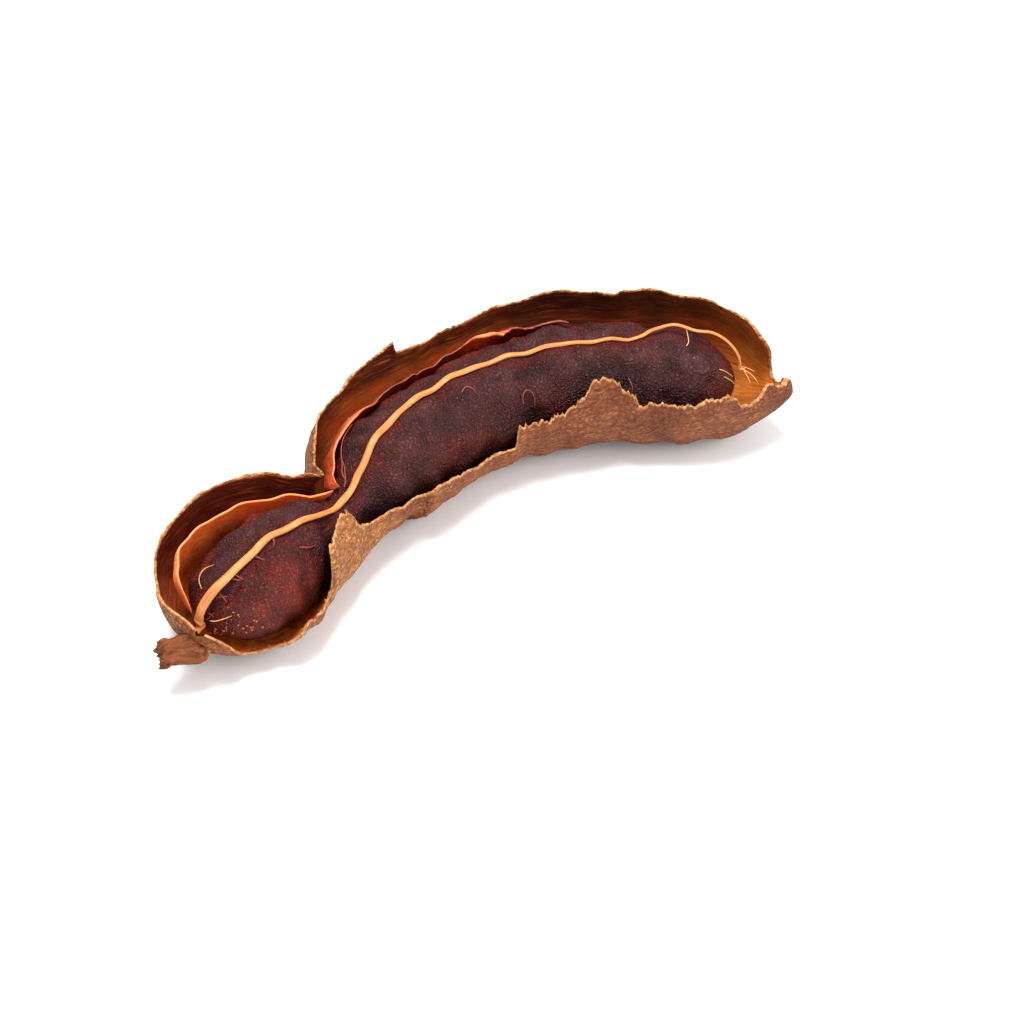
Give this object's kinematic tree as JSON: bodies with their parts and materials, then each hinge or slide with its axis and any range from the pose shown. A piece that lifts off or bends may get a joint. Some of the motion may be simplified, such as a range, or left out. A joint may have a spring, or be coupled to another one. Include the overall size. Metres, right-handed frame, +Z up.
{
  "type": "opened tamarind pod",
  "caption": "Ripe curved tamarind pod lying on its side, its brittle shell broken open along the top over dark sticky pulp with a fibre strand and thin membranes.",
  "frame": {"origin": "centre of the bounding box in plan, at the surface that the pod lies on", "axes": "+X along the pod from the stalk to the beak, +Y to the back of its curve, +Z up"},
  "size_m": [0.141, 0.0494, 0.0264],
  "materials": {
    "shell": "matt scurfy tan-brown husk, dark brown inside",
    "stalk": "rough brown bark",
    "pulp": "sticky dark purple-brown, finely wrinkled",
    "main_strand": "satin tan fibre",
    "membrane_near": "moist orange-red membrane",
    "membrane_long": "moist red-brown membrane"
  },
  "bodies": {
    "root": {"shell": "shell", "stalk": "stalk", "pulp": "pulp", "main_strand": "main_strand", "membrane_near": "membrane_near", "membrane_long": "membrane_long"}
  },
  "joints": []
}
